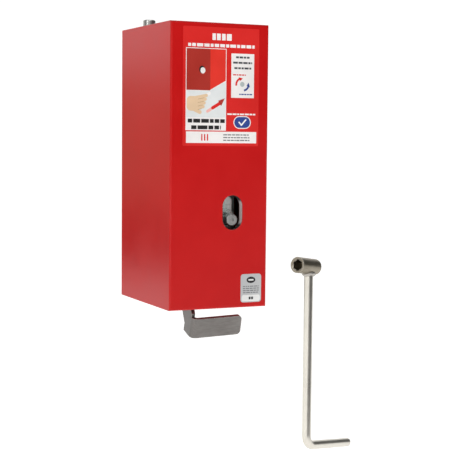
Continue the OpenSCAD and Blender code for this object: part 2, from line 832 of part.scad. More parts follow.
module plunger_guide() {
    y0 = front_plate_back;
    depth = plunger_y - y0 + 12;
    color(zinc) difference() {
        translate([plunger_x - guide_w / 2, y0, guide_low_z])
            cube([guide_w, depth, guide_high_z + guide_t - guide_low_z]);
        translate([plunger_x - guide_w / 2 - 1, y0 + guide_t, guide_low_z + guide_t])
            cube([guide_w + 2, depth, guide_high_z - guide_low_z - guide_t]);
        translate([plunger_x, plunger_y, guide_low_z - 1])
            cylinder(r = plunger_r + shaft_fit, h = guide_high_z - guide_low_z + guide_t + 2);
        for (s = [-1, 1])
            to_front(plunger_x + s * guide_screw_x, y0 + guide_t + 1, guide_screw_z)
                cylinder(r = m5_r, h = guide_t + 2);
    }
}

module guide_screws() {
    color(steel) for (s = [-1, 1])
        to_front(plunger_x + s * guide_screw_x, front_plate_y, guide_screw_z)
            hex_screw(m5_r, m5_af, 3.5, front_t + guide_t + 1);
}

module brake_plunger() {
    foot_top = pivot_z + 8.5;
    color(steel) difference() {
        union() {
            translate([plunger_x, plunger_y, foot_top - tiny])
                cylinder(r = plunger_r, h = shoe_bottom - foot_top + tiny);
            translate([plunger_x - 8, plunger_y - 8, foot_top - plunger_foot]) cube([16, 16, plunger_foot]);
        }
        to_right(plunger_x - 20, plunger_y, pivot_z) cylinder(r = link_r, h = 40);
    }
}

module link_pin() {
    x0 = lever_x - 3;
    color(steel) to_right(x0, plunger_y, pivot_z) cylinder(r = link_r - thread_fit, h = plunger_x + 10 - x0);
}

module spring_collar() {
    color("dimgray") translate([plunger_x, plunger_y, collar_z])
        ring(plunger_r + 4, plunger_r + thread_fit, collar_t);
}

spring_r = plunger_r + 1.2 + spring_wire_d / 2;
spring_sides = 8;
spring_steps = 20;                        // rings for each turn

// One ring of the wire, at turn t along the helix
function coil_ring(t) =
    let (z = spring_wire_d / 2 + (spring_len - spring_wire_d) * t / spring_turns)
    [for (k = [0 : spring_sides - 1])
        let (a = 360 * k / spring_sides, r = spring_r + spring_wire_d / 2 * cos(a))
        [r * cos(360 * t), r * sin(360 * t), z + spring_wire_d / 2 * sin(a)]];

module brake_spring() {
    last = spring_turns * spring_steps;
    rings = [for (i = [0 : last]) each coil_ring(i / spring_steps)];
    sides = [for (i = [0 : last - 1], k = [0 : spring_sides - 1])
        let (a = i * spring_sides + k, b = i * spring_sides + (k + 1) % spring_sides)
        [a, a + spring_sides, b + spring_sides, b]];
    ends = [[for (k = [0 : spring_sides - 1]) k],
            [for (k = [spring_sides - 1 : -1 : 0]) last * spring_sides + k]];
    color("gray") translate([plunger_x, plunger_y, guide_low_z + guide_t])
        polyhedron(points = rings, faces = concat(sides, ends));
}

module brake_shoe() {
    color(steel) translate([plunger_x - shoe_fit_w / 2, plunger_y - shoe_len / 2, shoe_bottom])
        cube([shoe_fit_w, shoe_len, shoe_t]);
}

module brake_lining() {
    color("saddlebrown") difference() {
        translate([plunger_x - shoe_fit_w / 2, plunger_y - shoe_len / 2, shoe_bottom + shoe_t])
            cube([shoe_fit_w, shoe_len, lining_t + 3]);
        to_front(drum_x, 0, drum_z) cylinder(r = rim_r + run_gap, h = cover_d);
    }
}

// ---- cable outlet ----

ferrule_bottom = plate_h / 2 - 17;

module cable_ferrule() {
    h = cover_h / 2 + ferrule_rise - ferrule_bottom;
    color(zinc) translate([ferrule_x, ferrule_y, ferrule_bottom]) difference() {
        union() {
            cylinder(r = ferrule_d / 2, h = h - 1);
            translate([0, 0, h - 1]) cylinder(r1 = ferrule_d / 2, r2 = ferrule_d / 2 - 1, h = 1);
        }
        translate([0, 0, -1]) cylinder(r = ferrule_bore_d / 2, h = h + 2);
    }
}

module ferrule_nut() {
    nut_t = 8;
    color(zinc) translate([ferrule_x, ferrule_y, plate_h / 2 - back_t - nut_t]) difference() {
        hex_prism(ferrule_d + 6, nut_t);
        translate([0, 0, -1]) cylinder(r = ferrule_d / 2 + thread_fit, h = nut_t + 2);
    }
}

// ---- labels ----

module instruction_label() {
    color("red") to_front(label_x + label_w / 2, front, label_z + label_h / 2)
        linear_extrude(label_t) rounded_rect(label_w, label_h, 1.5);
}

module inspection_label() {
    color("silver") to_front(tag_x + tag_w / 2, front, tag_z + tag_h / 2)
        linear_extrude(label_t) rounded_rect(tag_w, tag_h, 3.5);
}

// ---- crank ----
// In its own frame the rod hangs down from the origin, the socket's mouth is at -X
// and the handle points to +X.

module crank_place() {
    translate([crank_x, crank_y, crank_z])
        rotate([0, 0, -crank_yaw]) rotate([-crank_back_lean, 0, 0]) rotate([0, 0, crank_turn])
            children();
}

module crank_socket() {
    round_r = 4;
    color(zinc) crank_place() rotate([90, 0, 90]) translate([0, 0, -socket_front]) difference() {
        rotate_extrude() difference() {
            union() {
                square([socket_r, socket_len - round_r]);
                translate([0, socket_len - round_r]) square([socket_r - round_r, round_r]);
                translate([socket_r - round_r, socket_len - round_r]) circle(r = round_r);
            }
            translate([-socket_r, -1]) square([socket_r, socket_len + 2]);
        }
        translate([0, 0, -1]) rotate(30) hex_prism(hex_af + 2 * socket_fit, socket_depth + 1);
        translate([0, 0, -tiny]) cylinder(r1 = hex_corner_r + 1, r2 = hex_corner_r - 0.2, h = 1.2);
    }
}

module crank_rod() {
    straight = crank_arm - crank_bend_r;
    color(zinc) crank_place() difference() {
        union() {
            translate([0, 0, -straight]) cylinder(r = rod_r, h = straight);
            translate([crank_bend_r, 0, -straight]) rotate([90, 0, 180]) rotate_extrude(angle = -90)
                translate([crank_bend_r, 0]) circle(r = rod_r);
            translate([crank_bend_r, 0, -crank_arm]) rotate([0, 90, 0]) {
                cylinder(r = rod_r, h = handle_len - crank_bend_r - 1);
                translate([0, 0, handle_len - crank_bend_r - 1]) cylinder(r1 = rod_r, r2 = rod_r - 1, h = 1);
            }
        }
        rotate([0, 90, 0]) cylinder(r = socket_r + thread_fit, h = 80, center = true);
    }
}

// Fillet of weld where the rod meets the socket
module crank_weld() {
    color(zinc) crank_place() difference() {
        translate([0, 0, -socket_r - 3]) cylinder(r1 = rod_r + 0.4, r2 = rod_r + 3.6, h = 7);
        rotate([0, 90, 0]) cylinder(r = socket_r + thread_fit, h = 80, center = true);
        translate([0, 0, -socket_r - 5]) cylinder(r = rod_r + thread_fit, h = 30);
    }
}

back_plate();
front_plate();
spacer_posts();
front_post_screws();
back_post_screws();
cover();
opening_collar();
cover_screws();
drum_axle();
axle_spacer();
axle_nut();
cable_drum();
drum_gear();
brake_rim();
drum_screws();
drum_bushes();
cable_clamp();
drive_shaft();
pinion();
pinion_pin();
shaft_clips();
rear_shaft_bush();
front_bearing();
bearing_screws();
lever();
lever_hub();
lever_bracket();
bracket_screws();
lever_pin();
lever_pin_clip();
plunger_guide();
guide_screws();
brake_plunger();
link_pin();
spring_collar();
brake_spring();
brake_shoe();
brake_lining();
cable_ferrule();
ferrule_nut();
instruction_label();
inspection_label();
crank_socket();
crank_rod();
crank_weld();
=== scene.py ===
# %% [markdown]
# A fire-safety winch in a wall box: tall red sheet steel with a crank opening, a bent flat release lever
# below it, a cable outlet on top and a loose crank. The measured model is loaded first and stays as it is.
# This file adds what measurement alone can't give: finishes, printed labels, the spring's round wire and the
# ripples of a weld.

import math

import bpy
import numpy as np
from mathutils import Matrix, Vector


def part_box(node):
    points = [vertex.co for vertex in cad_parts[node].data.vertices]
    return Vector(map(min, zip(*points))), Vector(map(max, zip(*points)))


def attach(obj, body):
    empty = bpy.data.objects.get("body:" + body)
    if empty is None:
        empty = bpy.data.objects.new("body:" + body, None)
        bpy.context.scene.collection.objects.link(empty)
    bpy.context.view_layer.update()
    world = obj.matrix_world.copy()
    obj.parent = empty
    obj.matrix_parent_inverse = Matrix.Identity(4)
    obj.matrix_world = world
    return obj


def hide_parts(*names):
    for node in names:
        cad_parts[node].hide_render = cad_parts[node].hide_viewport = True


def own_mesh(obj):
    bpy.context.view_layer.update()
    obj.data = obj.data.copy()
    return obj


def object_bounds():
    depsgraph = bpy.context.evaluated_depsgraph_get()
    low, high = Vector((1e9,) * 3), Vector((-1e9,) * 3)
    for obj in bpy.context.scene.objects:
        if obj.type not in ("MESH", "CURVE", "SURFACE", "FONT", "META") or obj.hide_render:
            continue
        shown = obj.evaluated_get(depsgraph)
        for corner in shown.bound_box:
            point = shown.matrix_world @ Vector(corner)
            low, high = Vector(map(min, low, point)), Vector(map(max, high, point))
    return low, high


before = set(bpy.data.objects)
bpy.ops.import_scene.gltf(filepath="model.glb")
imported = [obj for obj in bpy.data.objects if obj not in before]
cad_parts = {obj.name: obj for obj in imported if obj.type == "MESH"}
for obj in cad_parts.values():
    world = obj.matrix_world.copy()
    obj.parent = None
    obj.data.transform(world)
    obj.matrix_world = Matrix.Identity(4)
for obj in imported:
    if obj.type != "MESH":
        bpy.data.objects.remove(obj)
cad_low, cad_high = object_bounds()
MM = 0.001
print("nodes", len(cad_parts), "size in mm", [round((b - a) / MM, 1) for a, b in zip(cad_low, cad_high)])

# %% [markdown]
# The object is shown like a catalogue piece: on white, in soft light. A swept backdrop has no line
# between floor and wall. It is one strip carried along a profile: flat floor, quarter circle, upright wall.
# It stands well below the crank, because the box itself hangs on a wall that isn't shown.

# %% Meshes from whole arrays
def make_mesh(name, points, faces, smooth=False):
    """A mesh object at the origin from an N by 3 array of places in metres and a list of faces."""
    mesh = bpy.data.meshes.new(name)
    mesh.from_pydata(np.asarray(points, float).tolist(), [], faces)
    mesh.update()
    mesh.polygons.foreach_set("use_smooth", [smooth] * len(mesh.polygons))
    made = bpy.data.objects.new(name, mesh)
    bpy.context.scene.collection.objects.link(made)
    return made


def grid_faces(rows, columns, close_rows=False, close_columns=False):
    """Quads between neighbours of a rows by columns grid of points, numbered row by row.
    Quad (i, j) joins (i, j), (i, j + 1), (i + 1, j + 1) and (i + 1, j), and wraps round where closed."""
    i, j = np.meshgrid(
        np.arange(rows if close_rows else rows - 1),
        np.arange(columns if close_columns else columns - 1),
        indexing="ij",
    )
    i2, j2 = (i + 1) % rows, (j + 1) % columns
    quads = np.stack([i * columns + j, i * columns + j2, i2 * columns + j2, i2 * columns + j], -1)
    return quads.reshape(-1, 4).tolist()


def linear(red, green, blue):
    """A display colour, each part 0 to 255, as the linear values that shaders use."""
    c = np.array([red, green, blue]) / 255
    return (*np.where(c <= 0.04045, c / 12.92, ((c + 0.055) / 1.055) ** 2.4).tolist(), 1.0)


# %% Backdrop
FLOOR_DROP = 0.06       # floor below the lowest piece, in metres
floor_z = cad_low.z - FLOOR_DROP
SWEEP_RADIUS = 1.6
BACK_Y = 4.0
HALF_WIDTH = 7.0


def backdrop_profile():
    """(y, z) pairs: straight along the floor, a quarter circle of SWEEP_RADIUS, then straight up."""
    turn = np.linspace(0, math.pi / 2, 24)
    bend = np.stack([BACK_Y - SWEEP_RADIUS + SWEEP_RADIUS * np.sin(turn),
                     floor_z + SWEEP_RADIUS * (1 - np.cos(turn))], 1)
    return np.vstack([[-6.0, floor_z], bend, [BACK_Y, floor_z + 6.0]])


profile = backdrop_profile()
sides = np.array([HALF_WIDTH, -HALF_WIDTH])
points = np.array([[(x, y, z) for x in sides] for y, z in profile]).reshape(-1, 3)
backdrop = make_mesh("backdrop", points, grid_faces(len(profile), 2), smooth=True)
print("floor at z", round(floor_z, 3))

# %% [markdown]
# The camera stands at the box's left front, a little above its middle, with a long lens. Its place and turn
# come from the box's own corners, solved once. The three axes are written out from the yaw, pitch and roll.

# %% Camera
YAW, PITCH, ROLL = math.radians(24.852), math.radians(4.528), math.radians(-0.565)
CAMERA_PLACE = Vector((-0.59719, -1.49868, 0.03592))
LENS_MM, SENSOR_MM = 95.39, 36.0
ahead = Vector((math.sin(YAW) * math.cos(PITCH), math.cos(YAW) * math.cos(PITCH), -math.sin(PITCH)))
level = Vector((math.cos(YAW), -math.sin(YAW), 0))
above = level.cross(ahead)
right = level * math.cos(ROLL) - above * math.sin(ROLL)
upright = level * math.sin(ROLL) + above * math.cos(ROLL)
camera_data = bpy.data.cameras.new("camera")
camera_data.lens, camera_data.sensor_width = LENS_MM, SENSOR_MM
camera_data.clip_start, camera_data.clip_end = 0.05, 60
camera = bpy.data.objects.new("camera", camera_data)
camera_turn = Matrix((right, upright, -ahead)).transposed().to_4x4()
camera.matrix_world = Matrix.Translation(CAMERA_PLACE) @ camera_turn
bpy.context.scene.collection.objects.link(camera)
bpy.context.scene.camera = camera
bpy.context.scene.view_settings.view_transform = "Standard"
print("camera at", tuple(round(v, 3) for v in camera.location))

# %% [markdown]
# Soft light: a large panel from the upper left front, a weaker one beside it, one above, and a tall strip
# that draws a bright line down the crank. Two dark cards, out of sight, give bare metal something dark to
# reflect, without which zinc and steel look like grey paint. Two more cards shine a little. The room is white
# to the eye and dim to the object: gloss paint that mirrors a white room turns pink.

# %% Lights
AIM = Vector((0.05, -0.08, -0.03))


def area_light(name, place, size, watts, tone=(1, 1, 1)):
    """A rectangular soft light at place, size (width, height) in metres, turned to face AIM."""
    data = bpy.data.lights.new(name, "AREA")
    data.shape, data.size, data.size_y, data.energy, data.color = "RECTANGLE", size[0], size[1], watts, tone
    light = bpy.data.objects.new(name, data)
    light.location = place
    light.rotation_euler = (AIM - Vector(place)).to_track_quat("-Z", "Y").to_euler()
    bpy.context.scene.collection.objects.link(light)
    return light


def card(name, place, size, tone, facing=None):
    """A flat card that faces AIM, or the direction facing, and shows only in reflections."""
    turn = Vector(facing or AIM - Vector(place)).to_track_quat("Z", "Y").to_matrix()
    half = np.array([[-1, -1, 0], [1, -1, 0], [1, 1, 0], [-1, 1, 0]]) * [size[0] / 2, size[1] / 2, 0]
    made = make_mesh(name, half @ np.array(turn).T + np.array(place), [[0, 1, 2, 3]])
    made.visible_camera = False
    made.visible_shadow = False
    made.visible_diffuse = False
    material = bpy.data.materials.new(name)
    material.use_nodes = True
    shader = material.node_tree.nodes["Principled BSDF"]
    shader.inputs["Base Color"].default_value = (tone, tone, tone, 1)
    shader.inputs["Roughness"].default_value = 1.0
    made.data.materials.append(material)
    return made


area_light("key", (-0.8, -2.2, 1.5), (1.4, 1.4), 22)
area_light("fill", (0.2, -2.3, 1.7), (1.2, 0.8), 8.5)
area_light("top", (0.1, -0.3, 1.9), (1.4, 1.0), 6)
area_light("strip", (-1.2, -0.85, -0.1), (0.26, 1.8), 6.0)
card("dark_card_right", (1.1, -0.9, -0.2), (0.7, 1.8), 0.02)
card("dark_band_left", (-0.47, 1.0, -0.19), (0.9, 0.15), 0.02)


def glow(made, colour, strength):
    """Lets a card shine by itself, so that what it looks like in a reflection does not hang on the lights."""
    shader = made.data.materials[0].node_tree.nodes["Principled BSDF"]
    shader.inputs["Emission Color"].default_value = colour
    shader.inputs["Emission Strength"].default_value = strength


# a pale card beside the box, turned to the crank, keeps the box's red out of the bright metal
pale_card = card("pale_card_crank", (0.11, -0.10, -0.22), (0.26, 0.46), 0.85, facing=(1, 0, 0))
glow(pale_card, (1, 0.99, 0.97, 1), 0.55)
# a warm, half bright card behind on the left is what the box's side mirrors, in place of the white backdrop
warm_card = card("warm_card_left", (-0.50, 1.05, 0.03), (1.0, 0.30), 0.02)
glow(warm_card, (1, 0.70, 0.52, 1), 0.42)
world = bpy.data.worlds.new("studio")
world.use_nodes = True
SEEN_STRENGTH, LIT_STRENGTH = 1.0, 0.13
world_tree = world.node_tree
background = world_tree.nodes["Background"]
background.inputs["Color"].default_value = (1.0, 0.995, 0.985, 1)
ray = world_tree.nodes.new("ShaderNodeLightPath")
strength = world_tree.nodes.new("ShaderNodeMapRange")
strength.inputs["To Min"].default_value, strength.inputs["To Max"].default_value = LIT_STRENGTH, SEEN_STRENGTH
world_tree.links.new(ray.outputs["Is Camera Ray"], strength.inputs["Value"])
world_tree.links.new(strength.outputs["Result"], background.inputs["Strength"])
bpy.context.scene.world = world

# %% [markdown]
# Several finishes share the same effects, so each effect is a shader node group, built once, with named
# inputs. A group hands over only heights and masks. The material decides what colour or shine they mean.

# %% Node groups
def new_group(name, inputs, outputs):
    """An empty shader group with float or vector inputs {name: default} and float outputs."""
    tree = bpy.data.node_groups.new(name, "ShaderNodeTree")
    for label, default in inputs.items():
        kind = "NodeSocketVector" if isinstance(default, tuple) else "NodeSocketFloat"
        tree.interface.new_socket(name=label, in_out="INPUT", socket_type=kind).default_value = default
    for label in outputs:
        tree.interface.new_socket(name=label, in_out="OUTPUT", socket_type="NodeSocketFloat")
    return tree, tree.nodes.new("NodeGroupInput"), tree.nodes.new("NodeGroupOutput")


def math_node(tree, operation, *values, clamp=False):
    """One Math node. Each value is a number or a socket to link."""
    node = tree.nodes.new("ShaderNodeMath")
    node.operation, node.use_clamp = operation, clamp
    for socket, value in zip(node.inputs, values):
        if isinstance(value, (int, float)):
            socket.default_value = value
        else:
            tree.links.new(value, socket)
    return node.outputs[0]


def weighted(tree, first, first_share, second, second_share):
    """first times its share, plus second times its share."""
    parts = [math_node(tree, "MULTIPLY", value, share)
             for value, share in ((first, first_share), (second, second_share))]
    return math_node(tree, "ADD", *parts)


def product(tree, first, second, third):
    """Three masks multiplied, held between 0 and 1."""
    return math_node(tree, "MULTIPLY", math_node(tree, "MULTIPLY", first, second), third, clamp=True)


def noise(tree, vector, scale, detail=3.0, roughness=0.5):
    """A Noise texture's value from 0 to 1 at vector. scale is a number or a socket."""
    node = tree.nodes.new("ShaderNodeTexNoise")
    node.inputs["Detail"].default_value, node.inputs["Roughness"].default_value = detail, roughness
    tree.links.new(vector, node.inputs["Vector"])
    if isinstance(scale, (int, float)):
        node.inputs["Scale"].default_value = scale
    else:
        tree.links.new(scale, node.inputs["Scale"])
    return node.outputs["Fac"]


def ramp(tree, value, low, high):
    """value stretched so that low gives 0 and high gives 1, held between them, with soft ends."""
    node = tree.nodes.new("ShaderNodeMapRange")
    node.interpolation_type = "SMOOTHSTEP"
    node.inputs["From Min"].default_value, node.inputs["From Max"].default_value = low, high
    tree.links.new(value, node.inputs["Value"])
    return node.outputs["Result"]


def object_place(tree):
    """The surface point in the object's own metres."""
    return tree.nodes.new("ShaderNodeTexCoord").outputs["Object"]


def build_grain():
    """Fine bumps plus slow waviness. Height is 3/4 fine noise and 1/4 coarse; Tone is a slow cloud."""
    tree, given, result = new_group("surface_grain", {"Scale": 900.0}, ["Height", "Tone"])
    place = object_place(tree)
    fine = noise(tree, place, given.outputs["Scale"], 2.0)
    coarse = noise(tree, place, 70.0, 2.0)
    tree.links.new(weighted(tree, fine, 0.75, coarse, 0.25), result.inputs["Height"])
    tree.links.new(ramp(tree, noise(tree, place, 22.0, 5.0, 0.6), 0.32, 0.68), result.inputs["Tone"])
    return tree


def build_brushed():
    """Noise stretched along one axis: the place is multiplied by Stretch, so a small number draws long
    lines."""
    inputs = {"Stretch": (1.0, 1.0, 0.03), "Scale": 1500.0}
    tree, given, result = new_group("brushed_lines", inputs, ["Height", "Tone"])
    stretch = tree.nodes.new("ShaderNodeVectorMath")
    stretch.operation = "MULTIPLY"
    tree.links.new(object_place(tree), stretch.inputs[0])
    tree.links.new(given.outputs["Stretch"], stretch.inputs[1])
    lines = noise(tree, stretch.outputs[0], given.outputs["Scale"], 4.0, 0.6)
    tree.links.new(lines, result.inputs["Height"])
    tree.links.new(ramp(tree, lines, 0.35, 0.65), result.inputs["Tone"])
    return tree


def build_edge_wear_and_highlight():
    """1 on edges: worn, bare edges on metal finishes, and a painted highlight along the red paint's bends.
    The rounded normal is compared with the flat one: their dot product falls below 1 near an edge. Noise then
    breaks the band up, as handling and knocks do on worn metal."""
    inputs = {"Radius": 0.0006, "Amount": 0.5, "Breakup": 180.0}
    tree, given, result = new_group("edge_wear_and_highlight", inputs, ["Mask"])
    rounded = tree.nodes.new("ShaderNodeBevel")
    rounded.samples = 4
    tree.links.new(given.outputs["Radius"], rounded.inputs["Radius"])
    dot = tree.nodes.new("ShaderNodeVectorMath")
    dot.operation = "DOT_PRODUCT"
    tree.links.new(rounded.outputs[0], dot.inputs[0])
    tree.links.new(tree.nodes.new("ShaderNodeNewGeometry").outputs["True Normal"], dot.inputs[1])
    edge = ramp(tree, math_node(tree, "SUBTRACT", 1.0, dot.outputs["Value"]), 0.02, 0.16)
    broken = ramp(tree, noise(tree, object_place(tree), given.outputs["Breakup"], 5.0, 0.65), 0.42, 0.62)
    tree.links.new(product(tree, edge, broken, given.outputs["Amount"]), result.inputs["Mask"])
    return tree


def build_dust():
    """Dust that settles on faces that look up: the normal's upward part, times a cloudy noise, times
    Amount."""
    tree, given, result = new_group("settled_dust", {"Amount": 0.2}, ["Mask"])
    split = tree.nodes.new("ShaderNodeSeparateXYZ")
    tree.links.new(tree.nodes.new("ShaderNodeNewGeometry").outputs["Normal"], split.inputs[0])
    cloud = ramp(tree, noise(tree, object_place(tree), 60.0, 6.0, 0.65), 0.3, 0.7)
    upward = ramp(tree, split.outputs["Z"], 0.3, 1.0)
    tree.links.new(product(tree, upward, cloud, given.outputs["Amount"]), result.inputs["Mask"])
    return tree


def build_pits():
    """Scattered shallow pits, as in a casting or a scuffed coat: 1 at the middle of a few Voronoi cells."""
    tree, given, result = new_group("scattered_pits", {"Scale": 300.0, "Share": 0.3}, ["Mask"])
    cells = tree.nodes.new("ShaderNodeTexVoronoi")
    tree.links.new(object_place(tree), cells.inputs["Vector"])
    tree.links.new(given.outputs["Scale"], cells.inputs["Scale"])
    lot = math_node(tree, "FRACT", math_node(tree, "MULTIPLY", cells.outputs["Color"], 7.3))
    chosen = math_node(tree, "LESS_THAN", lot, given.outputs["Share"])
    dot = ramp(tree, math_node(tree, "SUBTRACT", 0.5, cells.outputs["Distance"]), 0.15, 0.45)
    tree.links.new(math_node(tree, "MULTIPLY", dot, chosen), result.inputs["Mask"])
    return tree


GROUPS = {"grain": build_grain(), "brushed": build_brushed(), "wear_and_highlight": build_edge_wear_and_highlight(),
          "dust": build_dust(), "pits": build_pits()}
print("groups", sorted(GROUPS))

# %% [markdown]
# Every finish is one material with the same layers, from the bottom up: two close colours mixed by a cloud or
# by brush marks, bare or polished metal on the edges (on the red paint a painted highlight in its place),
# pits, and a little dust. Numbers tell paint from zinc, and zinc from oiled gear steel. A rounded normal lets
# each sharp edge catch the light.

# %% A finish from its layers
def place_group(tree, key, **values):
    """A copy of a node group in a material, with its inputs set."""
    node = tree.nodes.new("ShaderNodeGroup")
    node.node_tree = GROUPS[key]
    for label, value in values.items():
        node.inputs[label].default_value = value
    return node.outputs


def mix_colour(tree, share, first, second):
    """first where share is 0 and second where it is 1. Each is a colour or a socket."""
    node = tree.nodes.new("ShaderNodeMix")
    node.data_type = "RGBA"
    tree.links.new(share, node.inputs["Factor"])
    for socket, value in ((node.inputs[6], first), (node.inputs[7], second)):
        if isinstance(value, tuple):
            socket.default_value = value
        else:
            tree.links.new(value, socket)
    return node.outputs[2]


def slide(tree, share, first, second):
    """A number that goes from first to second as share goes from 0 to 1."""
    node = tree.nodes.new("ShaderNodeMapRange")
    tree.links.new(share, node.inputs["Value"])
    for label, value in (("To Min", first), ("To Max", second)):
        if isinstance(value, (int, float)):
            node.inputs[label].default_value = value
        else:
            tree.links.new(value, node.inputs[label])
    return node.outputs["Result"]


DUST_COLOUR = (0.46, 0.43, 0.38, 1)
DUST_ROUGH, PIT_DEPTH, PIT_ROUGH = 0.85, 0.8, 0.12


def finish_material(name, colours, rough, metallic=0.0, grain=900.0, bump=0.12, depth=0.00005,
                    stretch=None, lines=1500.0, edge=0.0004, wear_and_highlight=0.0, breakup=180.0, worn_and_highlight=None,
                    dust=0.0, pits=None, coat=0.0, coat_rough=0.1, ink=None, specular=0.5):
    """One finish. colours: the two base colours. rough: roughness at the cloud's low and high.
    stretch: brush direction, small along the marks. edge: radius of the rounded normal in metres.
    wear, breakup and worn: how much of the edges is bare metal, or on the red paint a pale painted highlight,
    how finely that is broken up, and its (colour, roughness, metallic).
    pits: (scale, share). ink: the attribute that holds the printed colour, in place of the base colours."""
    material = bpy.data.materials.new(name)
    material.use_nodes = True
    tree = material.node_tree
    shader = tree.nodes["Principled BSDF"]
    fine = place_group(tree, "grain", Scale=grain)
    height, tone = fine["Height"], fine["Tone"]
    if stretch:
        brushed = place_group(tree, "brushed", Stretch=stretch, Scale=lines)
        height = math_node(tree, "ADD", math_node(tree, "MULTIPLY", height, 0.3), brushed["Height"])
        tone = weighted(tree, tone, 0.5, brushed["Tone"], 0.5)
    if ink:
        source = tree.nodes.new("ShaderNodeAttribute")
        source.attribute_name = ink
        faded = tree.nodes.new("ShaderNodeHueSaturation")
        tree.links.new(source.outputs["Color"], faded.inputs["Color"])
        tree.links.new(slide(tree, tone, 0.94, 1.04), faded.inputs["Value"])
        colour = faded.outputs["Color"]
    else:
        colour = mix_colour(tree, tone, *colours)
    roughness, metal = slide(tree, tone, *rough), metallic
    # on the red paint this edge band is a painted highlight; on the metal finishes it is real wear
    if wear_and_highlight:
        mask = place_group(tree, "wear_and_highlight", Radius=max(edge * 1.6, 0.0005), Amount=wear_and_highlight, Breakup=breakup)["Mask"]
        colour = mix_colour(tree, mask, colour, worn_and_highlight[0])
        roughness = slide(tree, mask, roughness, worn_and_highlight[1])
        if worn_and_highlight[2] != metallic:
            metal = slide(tree, mask, metallic, worn_and_highlight[2])
    if pits:
        hole = place_group(tree, "pits", Scale=pits[0], Share=pits[1])["Mask"]
        height = math_node(tree, "SUBTRACT", height, math_node(tree, "MULTIPLY", hole, PIT_DEPTH))
        rougher = math_node(tree, "MULTIPLY", hole, PIT_ROUGH)
        roughness = math_node(tree, "ADD", roughness, rougher, clamp=True)
    if dust:
        mask = place_group(tree, "dust", Amount=dust)["Mask"]
        colour = mix_colour(tree, mask, colour, DUST_COLOUR)
        roughness = slide(tree, mask, roughness, DUST_ROUGH)
    tree.links.new(colour, shader.inputs["Base Color"])
    tree.links.new(roughness, shader.inputs["Roughness"])
    if isinstance(metal, (int, float)):
        shader.inputs["Metallic"].default_value = metal
    else:
        tree.links.new(metal, shader.inputs["Metallic"])
    shader.inputs["Coat Weight"].default_value = coat
    shader.inputs["Coat Roughness"].default_value = coat_rough
    shader.inputs["Specular IOR Level"].default_value = specular
    bumped = tree.nodes.new("ShaderNodeBump")
    bumped.inputs["Strength"].default_value = bump
    bumped.inputs["Distance"].default_value = depth
    tree.links.new(height, bumped.inputs["Height"])
    if edge:
        rounded = tree.nodes.new("ShaderNodeBevel")
        rounded.samples = 4
        rounded.inputs["Radius"].default_value = edge
        tree.links.new(rounded.outputs[0], bumped.inputs["Normal"])
    tree.links.new(bumped.outputs[0], shader.inputs["Normal"])
    return material
